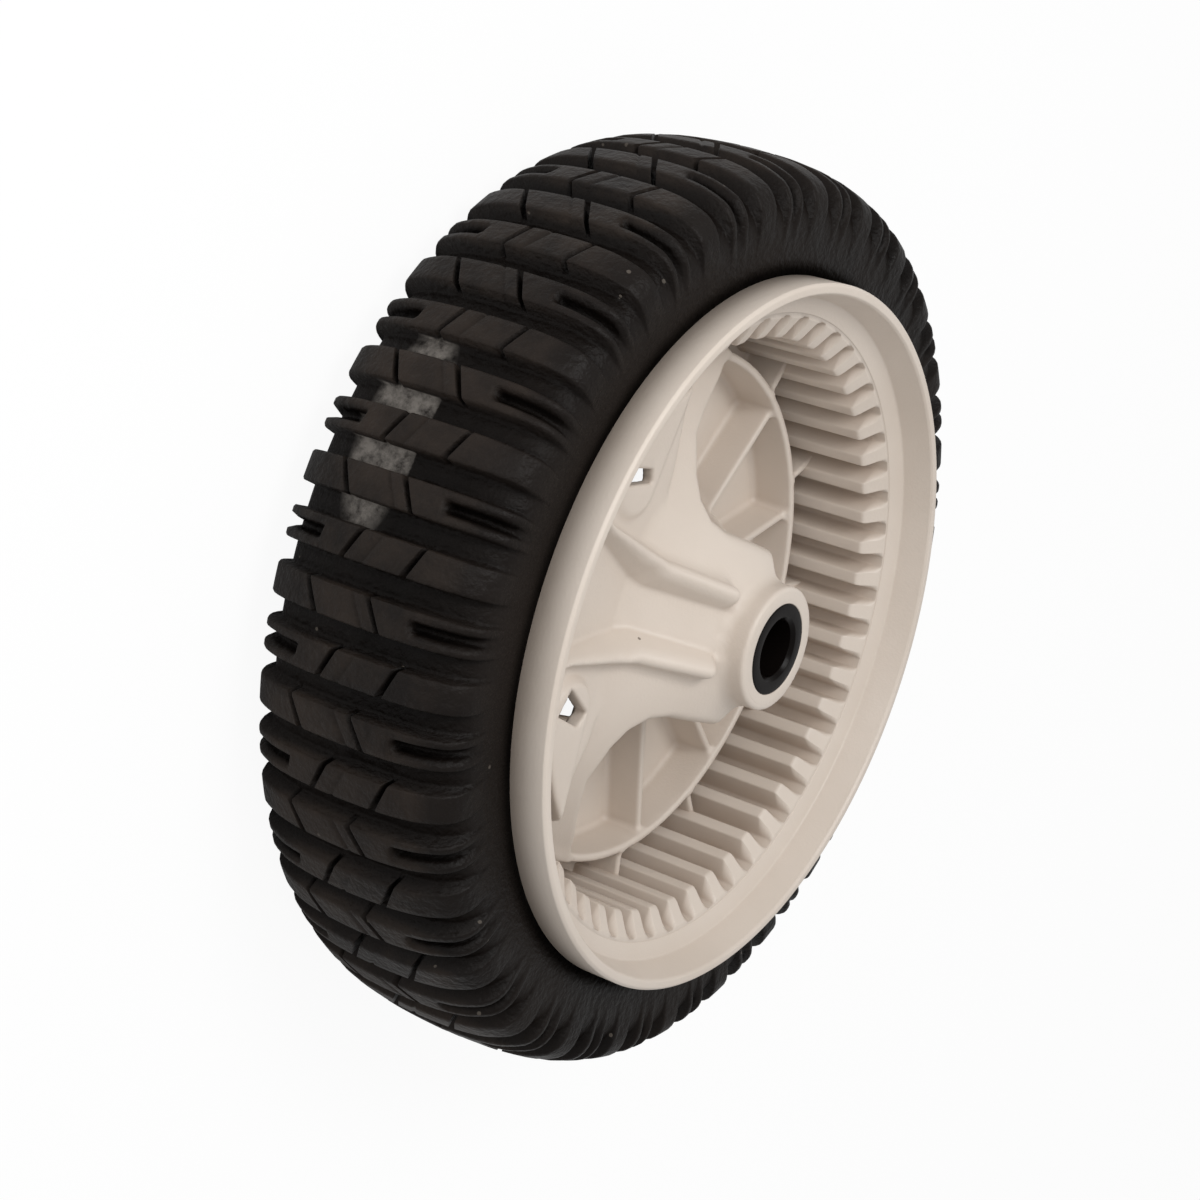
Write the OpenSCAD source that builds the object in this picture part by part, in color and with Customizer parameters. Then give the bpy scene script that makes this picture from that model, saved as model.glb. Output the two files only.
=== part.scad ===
// Drive wheel of a walk-behind lawn mower: a rubber tyre with a lugged tread,
// on a one-piece plastic wheel with an internal gear ring, and an axle bushing.
// The axle lies on Z, the gear side faces +Z and Z = 0 is the middle of the tyre.
// The long valley of the web runs along +X.

/* [Tyre] */
// Diameter over the tread
tyre_d = 203; // [180:1:240]
// Height of the tyre's section, from the rim's flanges to the tread
tyre_h = 23.3; // [20:0.1:28]
// Width of the tyre over its shoulders
tyre_w = 47; // [40:1:60]
// Drop of the lug tops from the crown to the shoulder
crown_drop = 5; // [3:0.5:7]
// Depth of the grooves between the lugs
tread_depth = 3.6; // [2:0.2:5]
// Pairs of lug rows round the tyre
lug_pairs = 27; // [20:1:32]
// Depth of the slots in the lugs
slot_depth = 2.6; // [1:0.2:3.4]
// Width of the slots in the lugs
slot_w = 1.5; // [1:0.1:2]
// Length of the slots, from the shoulder inwards
slot_l = 11; // [6:0.5:14]

/* [Rim] */
// Height of the rim's flanges above the barrel that the tyre sits on
flange_h = 4.2; // [3:0.1:5.4]
// Thickness of the barrel behind the gear ring
barrel_wall = 3; // [2:0.2:4]
// Thickness of the flange beside the tyre bead
flange_t = 3.8; // [3:0.2:5]
// Height of the lip on the gear side, beyond the tyre bead
lip_h = 8.4; // [5:0.2:11]
// Height of the lip on the outer side, beyond the tyre bead
back_lip_h = 3; // [2:0.2:6]
// Thickness of both lips
lip_t = 2.4; // [2:0.1:3]

/* [Gear ring] */
// Number of internal teeth
tooth_count = 52; // [48:1:56]
// Thickness of the plastic behind the roots of the teeth
gear_back = 4.4; // [3.6:0.1:5.4]
// Height of the teeth
tooth_h = 5.6; // [4.8:0.1:6]
// Length of the slope at the front end of each tooth
tooth_lead = 3.4; // [2:0.2:5]
// Width of a tooth at its tip
tooth_tip_w = 2.9; // [2:0.1:3.2]
// Turn of the gear ring against the valley
gear_turn = 0.65; // [0:0.05:3]
// Width of the trough between the teeth and the ring wall
trough_w = 5.6; // [4.6:0.2:8]
// Turn of the trough's ribs against the valley
trough_turn = -1.4; // [-3:0.2:3]

/* [Hub] */
// Diameter of the axle bore
bore_d = 12.9; // [12.7:0.1:14]
// Outer diameter of the bushing, pressed into the hub
bush_d = 20.2; // [18:0.1:22]
// Diameter of the hub
hub_d = 27.4; // [26:0.2:30]
// Height of the hub face above the middle of the tyre
hub_front = 37; // [34:0.5:42]
// Depth of the hub below the middle of the tyre
hub_back = 8.5; // [8:0.5:14]
// Chamfer at both ends of the axle bore
bore_chamfer = 0.7; // [0.3:0.1:1]

/* [Web] */
// Thickness of the web and of the raised arm
web_t = 3; // [2.4:0.2:3.4]
// Depth of the web's gear-side face below the middle of the tyre
web_drop = 4.6; // [2:0.2:5]
// Thickness of the ring wall inside the gear trough
skirt_t = 2; // [1.6:0.1:2.6]
// Height of that ring wall's edge above the middle of the tyre
skirt_front = 5.8; // [4:0.2:8]
// Thickness of the ribs in the deep cells and in the trough
rib_t = 2; // [1.6:0.1:2.4]
// Depth of the cell ribs' edge below the ring wall's edge
rib_drop = 1.5; // [1:0.1:3]
// Angle between the cell ribs
rib_step = 31; // [28:1:34]

/* [Raised arm] */
// Depth of the arm's top below the hub face
arm_drop = 1.4; // [0.8:0.1:3]
// Height of the flat deck round the windows above the middle of the tyre
deck_z = 17.5; // [16:0.5:20]
// Drop from the deck's level to the strip along the pocket mouths
strip_drop = 3.6; // [2.4:0.2:4.4]
// Depth of the valley below the arm's top
valley_depth = 4.4; // [3:0.2:6]
// Width of the valley floor
valley_w = 9.6; // [7:0.2:11]
// Side of the square windows
window_w = 6.8; // [5:0.2:7]
// Distance of the windows inside the ring wall's outer face
window_in = 8.4; // [8:0.2:12]
// Angle of the windows from the middle of the valley
window_angle = 28; // [26:1:31]
// Radius of the rounded ridges beside the valley
ridge_r = 2.4; // [1.6:0.2:3]
// Thickness of the wall that the windows go through
window_wall = 3; // [2.4:0.2:3]
// Height of the raised ring round each window
pad_h = 1.5; // [1:0.1:2]
// Width of the raised ring round each window
pad_w = 4; // [3:0.2:4.4]
// Width of the opening at the foot of each pocket, in line with the window
foot_w = 7; // [4:0.5:9]
// Height of that opening above the web's gear-side face
foot_h = 12; // [8:0.5:14]

/* [Hidden] */
$fn = 96;

// ---- radii and levels worked out from the sizes above
tyre_r = tyre_d / 2;
side_z = tyre_w / 2;
rim_r = tyre_r - tyre_h;
barrel_r = rim_r - flange_h;
root_r = barrel_r - gear_back;
tip_r = root_r - tooth_h;
hub_r = hub_d / 2;
bush_r = bush_d / 2;
bore_r = bore_d / 2;
skirt_r = tip_r - trough_w;
skirt_in = skirt_r - skirt_t;
bead_z = side_z + lip_t / 3;
lip_z = bead_z + lip_h;
back_z = -bead_z - back_lip_h;
seat_z = bead_z - flange_t;
floor_z = -web_drop;
under_z = floor_z - web_t;
// Level inside the web's thickness where everything that stands on it is rooted
root_z = floor_z - web_t / 2;
lip_round = lip_t / 4;
// Radius where the flat ledge in front of the teeth meets the lip wall
ledge_r = rim_r - lip_t * 1.8;
// Rise of the ledge from the teeth to the lip wall
ledge_rise = flange_t * 0.4;
lead_z = bead_z - tooth_lead;
inner_r = barrel_r - barrel_wall;
window_r = skirt_r - window_in;
// Overrun of every cut
cut = web_t / 3;

// Shape of the raised arm, as shares of the ring wall's radius: along and across the valley
mouth_shares = [[-0.02, 0.335], [0.14, 0.345], [0.28, 0.36], [0.35, 0.41], [0.37, 0.48],
                [0.36, 0.63], [0.25, 0.79], [0.06, 0.985], [0.06, 1.2], [1.2, 1.2]];
deck_shares = [[-0.02, 0.24], [0.1, 0.25], [0.53, 0.235], [0.585, 0.3], [0.62, 0.62], [0.65, 1.2], [1.2, 1.2]];
// Where the valley floor levels out, and how far it fans out, as shares of the same radius
crease_share = 0.59;
fan_share = 0.32;
// Path of each ridge from the hub outwards, as shares of the same radius
ridge_shares = [[0.27, 0.145], [0.6, 0.166], [0.75, 0.19], [0.94, 0.25]];
// Opening at the foot of each pocket, as shares of the same radius: both ends along the valley, near side
foot_shares = [-0.02, 0.425, 0.37];
// Height of the fan below the deck
fan_drop = ridge_r / 2;
// Levels of the sloping top at the hub and at the ring wall
arm_z = hub_front - arm_drop;
arm_foot_z = skirt_front + strip_drop;
arm_slope = (arm_z - arm_foot_z) / (skirt_r - hub_r);
crease_x = crease_share * skirt_r;
valley_top_z = arm_z - valley_depth;
valley_low_z = deck_z - fan_drop;
valley_tilt = atan2(valley_top_z - valley_low_z, crease_x - hub_r);
valley_len = norm([valley_top_z - valley_low_z, crease_x - hub_r]);

// Points of a table of shares, followed by their mirror images
function both_sides(shares) = concat(
    [for (p = shares) [p[0] * skirt_r, p[1] * skirt_r]],
    [for (i = [len(shares) - 1 : -1 : 0]) [shares[i][0] * skirt_r, -shares[i][1] * skirt_r]]);

// Unit vector that points into a clockwise outline from its side p to q
function inward(p, q) = [q[1] - p[1], p[0] - q[0]] / norm(q - p);

// The same outline moved inwards by a wall, all round
function inset(pts, wall) = [for (i = [0 : len(pts) - 1])
    let (m = inward(pts[(i + len(pts) - 1) % len(pts)], pts[i]),
         n = inward(pts[i], pts[(i + 1) % len(pts)]))
    pts[i] + (m + n) * (wall / (1 + m * n))];

// Outline of the space inside the gear: wide in the gaps, narrow at the teeth
function gear_space_points() =
    let (pitch = 360 / tooth_count,
         tip_half = asin(tooth_tip_w / 2 / tip_r),
         root_half = pitch * 0.34)
    [for (i = [0 : tooth_count - 1]) each [
        [tip_r * cos(i * pitch - pitch / 2 + tip_half), tip_r * sin(i * pitch - pitch / 2 + tip_half)],
        [root_r * cos(i * pitch - pitch / 2 + root_half), root_r * sin(i * pitch - pitch / 2 + root_half)],
        [root_r * cos(i * pitch + pitch / 2 - root_half), root_r * sin(i * pitch + pitch / 2 - root_half)],
        [tip_r * cos(i * pitch + pitch / 2 - tip_half), tip_r * sin(i * pitch + pitch / 2 - tip_half)]]];

// Rim: barrel, both flanges with their lips, and the stock of the gear ring
module rim() {
    rotate_extrude(convexity = 8)
        polygon([
            [tip_r, under_z],
            [tip_r, lead_z],
            [root_r - lip_round, bead_z],
            [root_r + lip_round, bead_z],
            [ledge_r, bead_z + ledge_rise],
            [rim_r - lip_t, lip_z - lip_round],
            [rim_r - lip_t + lip_round, lip_z],
            [rim_r - lip_round, lip_z],
            [rim_r, lip_z - lip_round],
            [rim_r, seat_z],
            [barrel_r, seat_z],
            [barrel_r, -seat_z],
            [rim_r, -seat_z],
            [rim_r, back_z + lip_round],
            [rim_r - lip_round, back_z],
            [rim_r - lip_t + lip_round, back_z],
            [rim_r - lip_t, back_z + lip_round],
            [rim_r - lip_t * 1.2, -bead_z],
            [inner_r, -seat_z + flange_t],
            [inner_r, under_z]]);
}

// Sloping top of the arm as a solid of revolution, lowered by a drop
module arm_cone(drop, base_z) {
    rotate_extrude()
        polygon([
            [0, base_z],
            [skirt_r, base_z],
            [skirt_r, arm_foot_z - drop],
            [hub_r, arm_z - drop],
            [0, arm_z - drop]]);
}

// One outline raised from a base and trimmed by the sloping top
module arm_block(pts, drop, base_z) {
    intersection() {
        translate([0, 0, base_z])
            linear_extrude(height = arm_z - base_z) polygon(pts);
        arm_cone(drop, base_z);
    }
}

// Flat deck round the windows, lowered by a drop
module deck_block(pts, drop, base_z) {
    intersection() {
        translate([0, 0, base_z])
            linear_extrude(height = deck_z - drop - base_z) polygon(pts);
        translate([0, 0, base_z]) cylinder(r = skirt_r, h = arm_z - base_z);
    }
}

// Valley between the two ridges, with the fan at its outer end, grown by a wall
module valley(wall) {
    half = valley_w / 2 + wall;
    spread = valley_depth * 0.6;
    translate([hub_r, 0, valley_top_z])
        rotate([0, 90 + valley_tilt, 0])
            translate([0, 0, -hub_r])
                linear_extrude(height = valley_len + hub_r)
                    polygon([
                        [wall, -half],
                        [wall, half],
                        [-valley_depth * 2, half + spread * 2],
                        [-valley_depth * 2, -half - spread * 2]]);
    translate([0, 0, valley_low_z - wall])
        linear_extrude(height = arm_z)
            polygon([
                [crease_x - wall, -half],
                [crease_x - wall, half],
                [skirt_r + tooth_h, fan_share * skirt_r + half],
                [skirt_r + tooth_h, -fan_share * skirt_r - half]]);
}

// Straight bar with a rounded section from one point to another
module bar(from, to) {
    v = to - from;
    reach = norm(v) + ridge_r / 2;
    translate(from)
        rotate([0, acos(v[2] / norm(v)), atan2(v[1], v[0])])
            translate([0, 0, -ridge_r / 4]) cylinder(r = ridge_r, h = reach, $fn = 12);
}

// Ridge on one side of the valley, down the slope and out to the ring wall
module ridge(side) {
    p = [for (s = ridge_shares) [s[0] * skirt_r, side * s[1] * skirt_r]];
    z = [arm_z - arm_slope * (norm(p[0]) - hub_r), deck_z + valley_depth,
         deck_z + ridge_r * 0.6, deck_z + ridge_r * 0.6];
    intersection() {
        union()
            for (i = [0 : len(p) - 2])
                bar([p[i][0], p[i][1], z[i]], [p[i + 1][0], p[i + 1][1], z[i + 1]]);
        translate([0, 0, under_z]) cylinder(r = skirt_r, h = hub_front - under_z);
    }
}

// Raised arm: strip along the mouths, ridges beside the valley, deck round the windows
module arm() {
    difference() {
        union() {
            arm_block(both_sides(mouth_shares), strip_drop, root_z);
            arm_block(both_sides(deck_shares), 0, root_z);
            deck_block(both_sides(deck_shares), 0, root_z);
        }
        valley(0);
    }
    for (side = [-1, 1]) ridge(side);
}

// Hollow under the arm, open to the outer side of the wheel
module arm_hollow() {
    base_z = under_z - cut;
    difference() {
        intersection() {
            union() {
                arm_block(inset(both_sides(mouth_shares), web_t), strip_drop + web_t * 1.3, base_z);
                arm_block(inset(both_sides(deck_shares), web_t), web_t * 1.3, base_z);
                deck_block(inset(both_sides(deck_shares), web_t), web_t, base_z);
            }
            translate([0, 0, base_z]) cylinder(r = skirt_in, h = arm_z - base_z);
        }
        valley(web_t);
        translate([0, 0, base_z]) cylinder(r = hub_r, h = arm_z - base_z);
    }
}

// Copies at the two windows of the deck
module at_windows() {
    for (side = [-1, 1])
        rotate([0, 0, side * window_angle])
            translate([window_r, 0, 0])
                rotate([0, 0, side * rib_step])
                    children();
}

// Openings at the foot of the pockets, through the web and the side of the arm
module foot_openings() {
    start = foot_shares[0] * skirt_r;
    near = foot_shares[2] * skirt_r;
    for (side = [0, 1])
        mirror([0, side, 0])
            translate([start, near, under_z - cut])
                cube([foot_shares[1] * skirt_r - start, foot_w, web_t + foot_h + cut]);
}

// Radial ribs of the deep cells, with a brace up the hub
module cell_rib() {
    edge_z = skirt_front - rib_drop;
    brace_z = hub_front - valley_depth * 2;
    rotate([90, 0, 0])
        translate([0, 0, -rib_t / 2])
            linear_extrude(height = rib_t)
                polygon([
                    [bush_r + rib_t / 2, root_z],
                    [skirt_in + skirt_t / 2, root_z],
                    [skirt_in + skirt_t / 2, edge_z],
                    [hub_r * 2, edge_z],
                    [hub_r, brace_z],
                    [bush_r + rib_t / 2, brace_z]]);
}

// Short rib across the gear trough
module trough_rib() {
    translate([skirt_r - skirt_t / 2, -rib_t / 2, root_z])
        cube([root_r + barrel_wall / 2 - skirt_r, rib_t, skirt_front - rib_drop / 3 - root_z]);
}

// One-piece plastic wheel
module wheel_body() {
    color("antiquewhite")
        difference() {
            union() {
                difference() {
                    rim();
                    translate([0, 0, floor_z])
                        rotate([0, 0, gear_turn])
                            linear_extrude(height = lip_z - floor_z) polygon(gear_space_points());
                }
                translate([0, 0, under_z]) cylinder(r = inner_r, h = web_t);
                translate([0, 0, -hub_back]) cylinder(r = hub_r, h = hub_front + hub_back);
                difference() {
                    translate([0, 0, root_z]) cylinder(r = skirt_r, h = skirt_front - root_z);
                    translate([0, 0, root_z - cut])
                        cylinder(r = skirt_in, h = skirt_front - root_z + cut * 2);
                }
                for (k = [0 : 4])
                    rotate([0, 0, 180 + (k - 2) * rib_step]) cell_rib();
                for (k = [0 : tooth_count / 4 - 1])
                    rotate([0, 0, trough_turn + k * 4 * 360 / tooth_count]) trough_rib();
                arm();
                at_windows()
                    translate([0, 0, deck_z - web_t]) cylinder(r = window_w / 2 + pad_w, h = web_t + pad_h);
            }
            arm_hollow();
            foot_openings();
            at_windows() {
                translate([-window_w / 2, -window_w / 2, deck_z - web_t * 2])
                    cube([window_w, window_w, web_t * 2 + pad_h + cut]);
                translate([0, 0, deck_z - web_t * 2])
                    cylinder(r = window_w / 2 + pad_w / 2, h = web_t * 2 + pad_h - window_wall);
            }
            translate([0, 0, -hub_back - cut]) cylinder(r = bush_r, h = hub_front + hub_back + cut * 2);
        }
}

// Cross-section of one lug row, from one side wall over the crown to the other
function lug_section() =
    let (top = tyre_r, low = tyre_r - tread_depth * 1.8,
         half = [[side_z * 0.2, 0], [side_z * 0.5, crown_drop * 0.13], [side_z * 0.8, crown_drop * 0.44],
                 [side_z, crown_drop], [side_z + tread_depth * 0.3, crown_drop * 2],
                 [side_z + tread_depth * 0.3, crown_drop * 2.9]])
    concat(
        [for (i = [len(half) - 1 : -1 : 0]) [top - half[i][1], -half[i][0]]],
        [for (p = half) [top - p[1], p[0]]],
        [[low - crown_drop * 2, side_z * 0.9], [low - crown_drop, side_z * 0.6],
         [low - crown_drop, -side_z * 0.6], [low - crown_drop * 2, -side_z * 0.9]]);

// One lug row, with a slot in its shoulder on one side
module lug(lug_angle) {
    difference() {
        rotate([0, 0, -lug_angle / 2])
            rotate_extrude(angle = lug_angle) polygon(lug_section());
        translate([tyre_r - crown_drop - slot_depth, -slot_w / 2, side_z - slot_l])
            cube([crown_drop + slot_depth * 2, slot_w, slot_l + tread_depth]);
    }
}

// Solid rubber tyre, closed on the barrel and the bead seats
module tyre() {
    pitch = 360 / lug_pairs;
    base_r = tyre_r - tread_depth;
    lug_angle = pitch * 0.294;
    color("dimgray")
        union() {
            rotate_extrude(convexity = 4)
                polygon([
                    [barrel_r, -seat_z],
                    [rim_r, -seat_z],
                    [rim_r, -bead_z],
                    [rim_r + crown_drop, -bead_z],
                    [base_r - crown_drop * 2, -side_z - tread_depth * 0.1],
                    [base_r - crown_drop * 0.7, -side_z * 0.92],
                    [base_r - crown_drop * 0.13, -side_z * 0.55],
                    [base_r, 0],
                    [base_r - crown_drop * 0.13, side_z * 0.55],
                    [base_r - crown_drop * 0.7, side_z * 0.92],
                    [base_r - crown_drop * 2, side_z + tread_depth * 0.1],
                    [rim_r + crown_drop, bead_z],
                    [rim_r, bead_z],
                    [rim_r, seat_z],
                    [barrel_r, seat_z]]);
            for (k = [0 : lug_pairs - 1]) {
                rotate([0, 0, k * pitch - pitch * 0.37]) lug(lug_angle);
                rotate([0, 0, k * pitch + pitch * 0.13]) mirror([0, 0, 1]) lug(lug_angle);
            }
        }
}

// Black sleeve pressed into the hub
module bushing() {
    color("black")
        rotate_extrude()
            polygon([
                [bore_r + bore_chamfer, -hub_back],
                [bush_r, -hub_back],
                [bush_r, hub_front],
                [bore_r + bore_chamfer, hub_front],
                [bore_r, hub_front - bore_chamfer],
                [bore_r, bore_chamfer - hub_back]]);
}

wheel_body();
tyre();
bushing();
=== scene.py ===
# %% [markdown]
# # A lawn mower drive wheel
# The object is a small wheel in three pieces: a black rubber tyre with a lugged tread, one off-white
# plastic moulding that holds a ring of internal gear teeth, and a black bushing pressed into its hub.
# The CAD solids give the frame and the true sizes. Here each piece gets its finer forms and its finish:
# soft moulded edges, sipes (thin cuts) in the rubber, painted shade in the corners and a slight sheen.
# Every piece is worked out from a few measures, so a changed measure changes the piece with it.

# %% Load the frame
import bpy
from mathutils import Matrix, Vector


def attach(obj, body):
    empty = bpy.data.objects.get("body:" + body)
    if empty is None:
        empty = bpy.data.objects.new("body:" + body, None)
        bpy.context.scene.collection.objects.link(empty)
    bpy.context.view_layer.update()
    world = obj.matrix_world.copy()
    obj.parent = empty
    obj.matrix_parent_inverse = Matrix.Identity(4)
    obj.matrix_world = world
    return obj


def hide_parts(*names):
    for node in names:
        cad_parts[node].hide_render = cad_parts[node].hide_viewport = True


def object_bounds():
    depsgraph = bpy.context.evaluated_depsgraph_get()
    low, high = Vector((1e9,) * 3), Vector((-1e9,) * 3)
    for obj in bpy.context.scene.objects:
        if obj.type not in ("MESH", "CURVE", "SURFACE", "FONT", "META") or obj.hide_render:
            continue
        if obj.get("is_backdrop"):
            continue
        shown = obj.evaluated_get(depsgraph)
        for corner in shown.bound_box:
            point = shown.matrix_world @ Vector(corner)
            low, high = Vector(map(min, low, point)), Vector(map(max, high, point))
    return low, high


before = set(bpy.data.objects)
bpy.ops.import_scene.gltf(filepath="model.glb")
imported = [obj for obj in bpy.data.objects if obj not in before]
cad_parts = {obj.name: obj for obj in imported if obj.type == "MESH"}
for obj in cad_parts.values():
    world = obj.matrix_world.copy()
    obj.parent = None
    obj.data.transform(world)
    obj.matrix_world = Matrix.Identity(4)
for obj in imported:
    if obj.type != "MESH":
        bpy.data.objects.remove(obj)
cad_box = [list(corner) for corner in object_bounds()]

import bpy
import math
import numpy as np
from mathutils import Matrix, Vector

print("nodes in the frame:", sorted(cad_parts))
print("size of the frame in mm:", [round(1000 * (high - low), 1) for low, high in zip(*cad_box)])

# %% [markdown]
# ## Sizes
# The measures repeat the ones of the solids, in millimetres, so that every finer form sits on its solid.
# Blender works in metres, so one helper turns finished points into a mesh and scales them on the way.

# %% Measures in millimetres
METRES = 0.001
TREAD_R = 101.5
BEAD_Z = 24.3
RIM_R = 78.2
BARREL_R = 74.0
LIP_Z = 32.7
BACK_Z = -27.3
SEAT_Z = 20.5
TEETH = 52
TIP_R = 64.0
ROOT_R = 69.6
CONE_Z = 20.9
RIM_INSIDE = 71.6
SKIRT_R = 58.4
SKIRT_IN = 56.4
SKIRT_MIDDLE = (SKIRT_R + SKIRT_IN) / 2
SKIRT_TOP = 5.8
FLOOR_Z = -4.6
UNDER_Z = -7.6
RIB_FOOT_Z = UNDER_Z + 1
HUB_R = 13.7
HUB_TOP = 37.0
HUB_BACK = -8.5
BUSH_R = 10.1
BORE_R = 6.45
DECK_Z = 17.5

# %% A helper that makes a mesh object
def make_piece(name, points, faces, node):
    mesh = bpy.data.meshes.new(name)
    mesh.from_pydata((np.asarray(points) * METRES).tolist(), [], faces)
    mesh.polygons.foreach_set("use_smooth", np.ones(len(mesh.polygons), bool))
    mesh.update()
    piece = bpy.data.objects.new(name, mesh)
    bpy.context.scene.collection.objects.link(piece)
    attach(piece, "root")
    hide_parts(node)
    print(name, len(points), "points,", len(faces), "faces")
    return piece


# %% [markdown]
# ## Rings of points
# A turned form is a closed outline that goes round the axle. The tyre and the rim are such rings, except
# that their radius also changes with the angle, at the lugs and at the teeth. So both are made from a
# table of points with one row for each angle and one column for each place on the outline, and this
# helper joins the table into faces that close on themselves both ways.

# %% A helper that joins a closed table of points
def ring_faces(rows, columns):
    first = np.arange(rows)[:, None] * columns + np.arange(columns)[None, :]
    along = np.roll(first, -1, axis=1)
    around = np.roll(first, -1, axis=0)
    both = np.roll(along, -1, axis=0)
    quads = np.stack([first, along, both, around], axis=-1)
    return quads.reshape(-1, 4).tolist()


def ring_points(radius, height, angle_deg):
    angle = np.radians(angle_deg)[:, None]
    return np.stack([radius * np.cos(angle), radius * np.sin(angle),
                     np.broadcast_to(height, radius.shape)], axis=-1).reshape(-1, 3)


def soft_max(a, b, blend):
    part = np.clip(0.5 + 0.5 * (a - b) / blend, 0, 1)
    return b + (a - b) * part + blend * part * (1 - part)


def soft_min(a, b, blend):
    return -soft_max(-a, -b, blend)


# %% [markdown]
# ## Outline of the rim
# Moulded plastic has no sharp corner. The outline is written with its true corners, and each corner is
# then replaced by a short arc of its own radius.

# %% A helper that rounds the corners of an outline
def rounded(corners, steps=3):
    out = []
    count = len(corners)
    for i, (x, y, r) in enumerate(corners):
        here = np.array([x, y], float)
        back = np.array(corners[i - 1][:2], float) - here
        ahead = np.array(corners[(i + 1) % count][:2], float) - here
        if r == 0:
            out.append(here)
            continue
        back_len, ahead_len = np.linalg.norm(back), np.linalg.norm(ahead)
        back, ahead = back / back_len, ahead / ahead_len
        half_turn = math.acos(np.clip(back @ ahead, -1, 1)) / 2
        reach = min(r / math.tan(half_turn), back_len * 0.45, ahead_len * 0.45)
        start, end = here + back * reach, here + ahead * reach
        for k in range(steps + 1):
            t = k / steps
            out.append((1 - t) ** 2 * start + 2 * t * (1 - t) * here + t * t * end)
    return np.array(out)


# %% Outline of the rim, from the ledge over the lip and round the back
RIM_CORNERS = [
    (70.2, BEAD_Z, 0.3), (73.9, 25.8, 0.8), (75.7, 32.1, 0.4), (76.1, LIP_Z, 0.5), (77.6, LIP_Z, 0.6),
    (RIM_R, 32.1, 0.5), (RIM_R, SEAT_Z, 0), (BARREL_R, SEAT_Z, 0), (BARREL_R, -SEAT_Z, 0),
    (RIM_R, -SEAT_Z, 0), (RIM_R, -26.7, 0.5), (77.6, BACK_Z, 0.5), (76.4, BACK_Z, 0.5),
    (75.8, -26.7, 0.6), (75.3, -BEAD_Z, 2.0), (71.0, -16.7, 2.0), (71.0, -7.0, 0)]
rim_outline = rounded(RIM_CORNERS)
print("rim outline:", len(rim_outline), "points")

# %% [markdown]
# ## Gear teeth
# Inside the rim the wall is a ring gear. Seen from the axle, the wall's radius is a simple wave: wide at a
# gap, narrow at a tooth, with straight flanks between and rounded corners at the feet and the tips. At the
# front the teeth are cut by a cone, so a tooth ends in a slope, as on the real wheel.

# %% Wave of the gear wall
TOOTH_PITCH = 360 / TEETH
GEAR_TURN = 0.65
MM_PER_DEGREE = math.radians((TIP_R + ROOT_R) / 2)
TIP_HALF_DEG = 1.298
ROOT_HALF_DEG = 1.108
half_pitch = TOOTH_PITCH / 2 * MM_PER_DEGREE
tip_edge = half_pitch - TIP_HALF_DEG * MM_PER_DEGREE
root_edge = ROOT_HALF_DEG * MM_PER_DEGREE
gap_outline = rounded([
    (-half_pitch, TIP_R, 0), (-tip_edge, TIP_R, 0.55), (-root_edge, ROOT_R, 0.7),
    (root_edge, ROOT_R, 0.7), (tip_edge, TIP_R, 0.55), (half_pitch, TIP_R, 0)])[1:]
gap_angles, gap_wave = gap_outline[:, 0] / MM_PER_DEGREE, gap_outline[:, 1]
gear_angles = (np.arange(TEETH)[:, None] * TOOTH_PITCH + gap_angles[None, :]).ravel() + GEAR_TURN
gear_wave = np.tile(gap_wave, TEETH)
print("gear wall from", round(gap_wave.min(), 2), "to", round(gap_wave.max(), 2), "mm")

# %% Teeth and rim as one ring
CONE_RISE, CONE_LENGTH = 5.2, 3.4
gear_z = np.array([
    -6.3, -2.0, 4.0, 10.0, 16.0, 19.2, 20.2, 20.7, 21.1, 21.6, 22.4, 23.2, 23.8, 24.15, BEAD_Z])
cone_r = TIP_R + (gear_z - CONE_Z) / CONE_LENGTH * CONE_RISE
gear_wall = soft_max(gear_wave[:, None], cone_r[None, :], 0.6)
rim_radius = np.concatenate([gear_wall, np.tile(rim_outline[:, 0], (len(gear_angles), 1))], axis=1)
rim_height = np.concatenate([gear_z, rim_outline[:, 1]])[None, :]
rim_points = ring_points(rim_radius, rim_height, gear_angles)
rim_faces = ring_faces(*rim_radius.shape)
rim = make_piece("wheel_rim_and_gear", rim_points, rim_faces, "wheel_body")

# %% [markdown]
# ## Web of the wheel as one moulded form
# The web is hard to build from faces, because ribs, hub, ring wall and the raised arm all flow into each
# other with soft fillets. It is easier to say how far any point in space lies from the plastic. Such a
# distance is simple for a plate, a tube or a rib, and a soft minimum of two distances joins two forms with
# a fillet. The surface is where the joined distance is zero.

# %% Distance to an outline on the plan
def outline_distance(x, y, corners):
    nearest = np.full(x.shape, 1e9, np.float32)
    inside = np.zeros(x.shape, bool)
    for (ax, ay), (bx, by) in zip(corners, corners[1:] + corners[:1]):
        ex, ey = bx - ax, by - ay
        t = np.clip(((x - ax) * ex + (y - ay) * ey) / (ex * ex + ey * ey), 0, 1)
        nearest = np.minimum(nearest, (x - ax - t * ex) ** 2 + (y - ay - t * ey) ** 2)
        if ay != by:
            inside ^= ((ay > y) != (by > y)) & (x < ex * (y - ay) / ey + ax)
    return np.where(inside, -1, 1) * np.sqrt(nearest)


# %% [markdown]
# The raised arm is the wide form from the hub to the rim. Seen along the axle it has an outline, the mouth, and
# a flat part near the rim, the deck. Both sides of its valley share these outlines. The two ridges that flank the
# valley are written as a line in space with a round top, by their distance from the middle and their height.

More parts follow.
